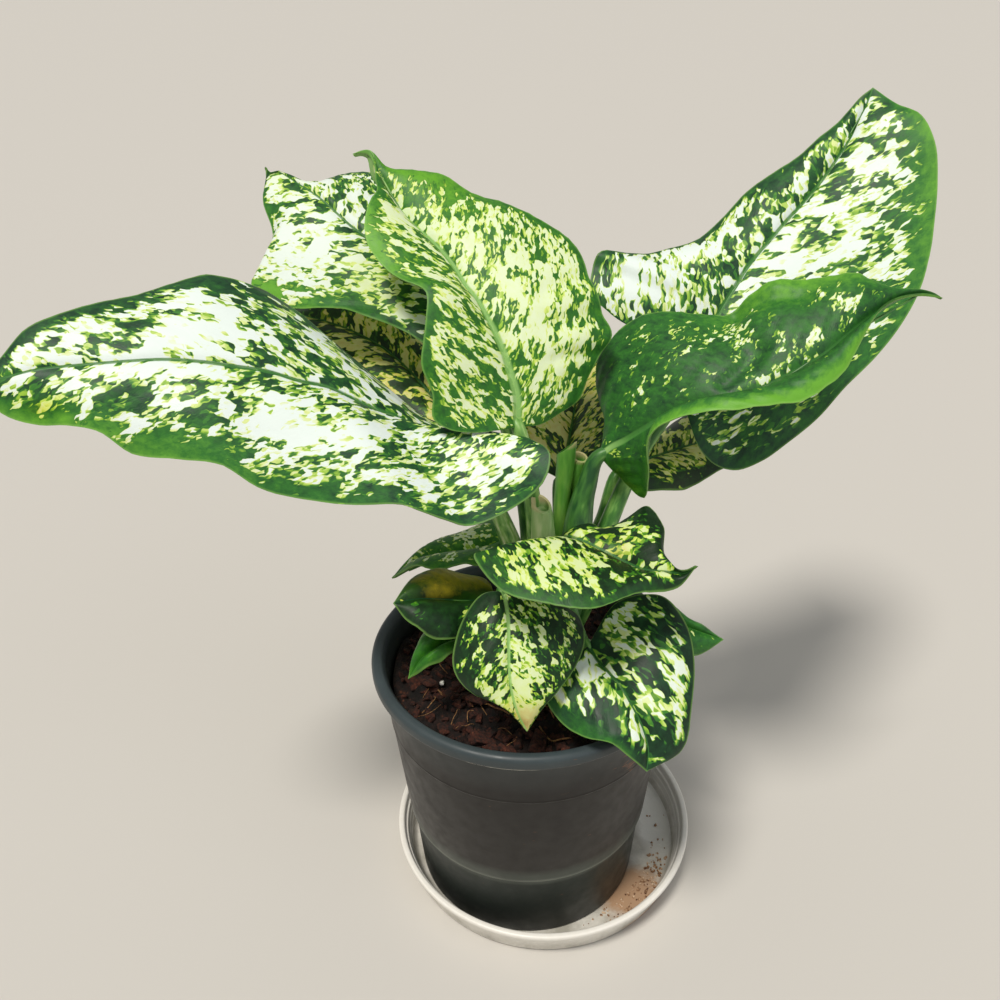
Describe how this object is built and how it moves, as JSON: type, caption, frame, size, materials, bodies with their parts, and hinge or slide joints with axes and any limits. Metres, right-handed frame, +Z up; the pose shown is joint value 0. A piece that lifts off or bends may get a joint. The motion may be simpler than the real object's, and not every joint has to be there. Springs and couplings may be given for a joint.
{
  "type": "potted aglaonema",
  "caption": "Aglaonema house plant with cream-spotted green leaves on short canes, in a soil-filled round nursery pot that stands on a shallow saucer and rests flat on it.",
  "frame": {"origin": "middle of the saucer's flat underside, on the surface that the plant stands on", "axes": "+Z up, +X to the right and -Y to the front as the plant is seen in its main view, with its large leaves spread along X"},
  "size_m": [0.3882, 0.1966, 0.374],
  "materials": {
    "saucer_plastic": "satin",
    "pot_plastic": "satin",
    "potting_soil": "matte",
    "cane_green": "satin",
    "variegated_leaf": "satin",
    "green_leaf": "satin"
  },
  "bodies": {
    "root": {"saucer": "saucer_plastic", "pot": "pot_plastic", "soil": "potting_soil", "cane_main": "cane_green", "cane_left": "cane_green", "cane_right": "cane_green", "leaf_left": "variegated_leaf", "leaf_back_left": "variegated_leaf", "leaf_centre": "variegated_leaf", "leaf_shade_left": "variegated_leaf", "leaf_back_right": "variegated_leaf", "leaf_front_right": "green_leaf", "leaf_shade_right": "variegated_leaf", "leaf_shade_back": "variegated_leaf", "leaf_low_fold": "variegated_leaf", "leaf_low_back": "variegated_leaf", "leaf_low_yellow": "green_leaf", "leaf_low_small": "green_leaf", "leaf_low_middle": "variegated_leaf", "leaf_low_right": "variegated_leaf", "leaf_low_tip": "green_leaf"}
  },
  "joints": []
}
